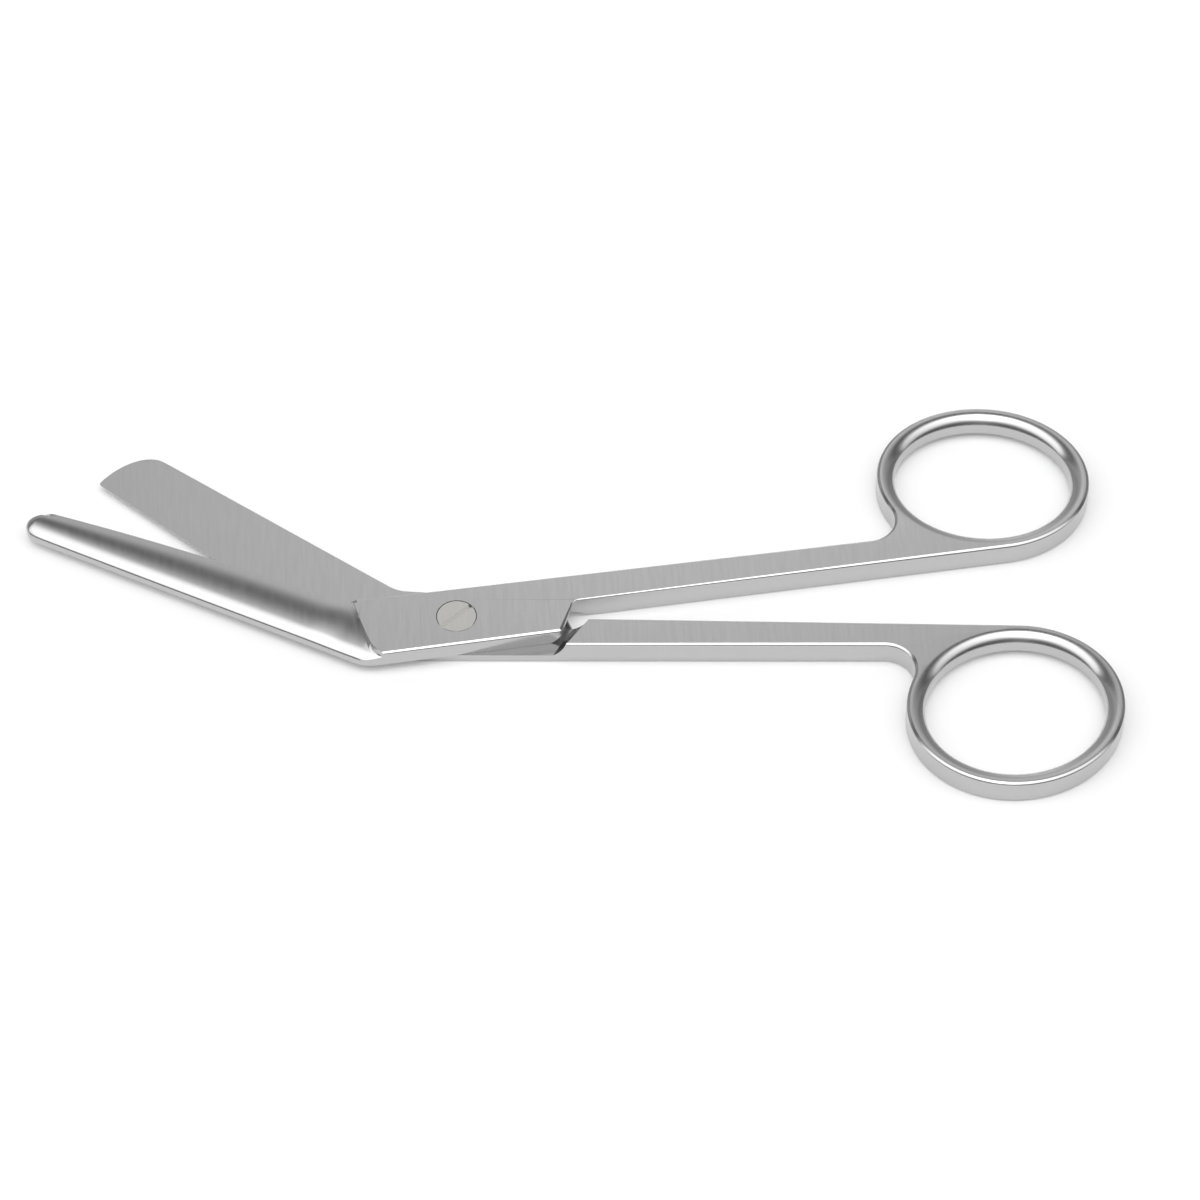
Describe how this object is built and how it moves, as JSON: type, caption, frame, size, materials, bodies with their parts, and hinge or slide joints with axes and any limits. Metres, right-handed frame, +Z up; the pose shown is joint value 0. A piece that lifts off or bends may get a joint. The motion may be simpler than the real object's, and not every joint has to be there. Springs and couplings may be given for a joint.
{
  "type": "episiotomy scissors",
  "caption": "Bent operating scissors with blunt tips: a domed upper blade crosses a flat lower blade, on a slotted pivot screw, with finger rings.",
  "frame": {"origin": "on the pivot axis, at the underside that the scissors rest on", "axes": "+X towards the finger rings, half-way between the shanks; +Y to the side that the blades bend to; +Z up along the pivot axis, to the screw's head"},
  "size_m": [0.1454, 0.0672, 0.0036],
  "materials": {
    "upper_steel": "satin",
    "lower_steel": "satin",
    "screw_steel": "polished"
  },
  "bodies": {
    "lower": {"lower_half": "lower_steel", "pivot_screw": "screw_steel"},
    "upper": {"upper_half": "upper_steel"}
  },
  "joints": [
    {"name": "pivot", "type": "hinge", "parent": "lower", "child": "upper", "pos_m": [0, 0, 0], "axis": [0, 0, 1], "range_deg": [-10, 60]}
  ]
}
